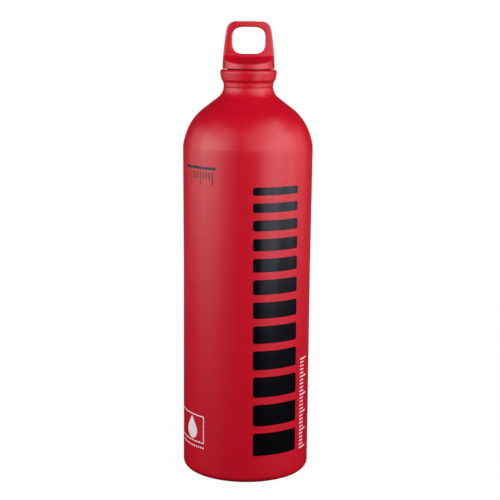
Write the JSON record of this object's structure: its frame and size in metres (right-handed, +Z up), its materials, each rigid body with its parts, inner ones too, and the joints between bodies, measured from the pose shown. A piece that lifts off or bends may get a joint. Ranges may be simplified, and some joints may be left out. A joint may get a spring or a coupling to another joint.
{
  "type": "camping fuel bottle",
  "caption": "Tall round-shouldered aluminium fuel bottle with a collared neck, a threaded O-ring plug and a spring-loaded push-and-turn loop cap.",
  "frame": {"origin": "centre of the base, on the plane of the standing ring", "axes": "+Z up along the bottle's axis; -Y is the printed front, and the finger loop's plate lies across X"},
  "size_m": [0.09, 0.09, 0.3157],
  "materials": {
    "powder_coated_body": "matte",
    "seal_rubber": "matte",
    "plug_plastic": "satin",
    "spring_wire": "satin",
    "cap_plastic": "satin"
  },
  "bodies": {
    "bottle": {"bottle_body": "powder_coated_body"},
    "seal": {"o_ring": "seal_rubber"},
    "plug": {"threaded_plug": "plug_plastic"},
    "spring": {"return_spring": "spring_wire"},
    "cap": {"loop_cap": "cap_plastic"}
  },
  "joints": [
    {"name": "cap_rise", "type": "slide", "parent": "bottle", "child": "seal", "axis": [0, 0, 1], "range_m": [0, 0.0105]},
    {"name": "cap_turn", "type": "hinge", "parent": "seal", "child": "plug", "pos_m": [0, 0, 0.28066], "axis": [0, 0, 1], "range_deg": [0, 1260]},
    {"name": "cap_slip", "type": "hinge", "parent": "plug", "child": "spring", "pos_m": [0, 0, 0.28546], "axis": [0, 0, 1], "continuous": true},
    {"name": "cap_push", "type": "slide", "parent": "spring", "child": "cap", "axis": [0, 0, 1], "range_m": [-0.0008, 0], "stiffness_N_per_m": 1500, "springref_m": 0.003, "deforming": ["return_spring"]}
  ],
  "couplings": [
    {"joint": "cap_rise", "follows": "cap_turn", "m_per_rad": 0.00047746}
  ]
}
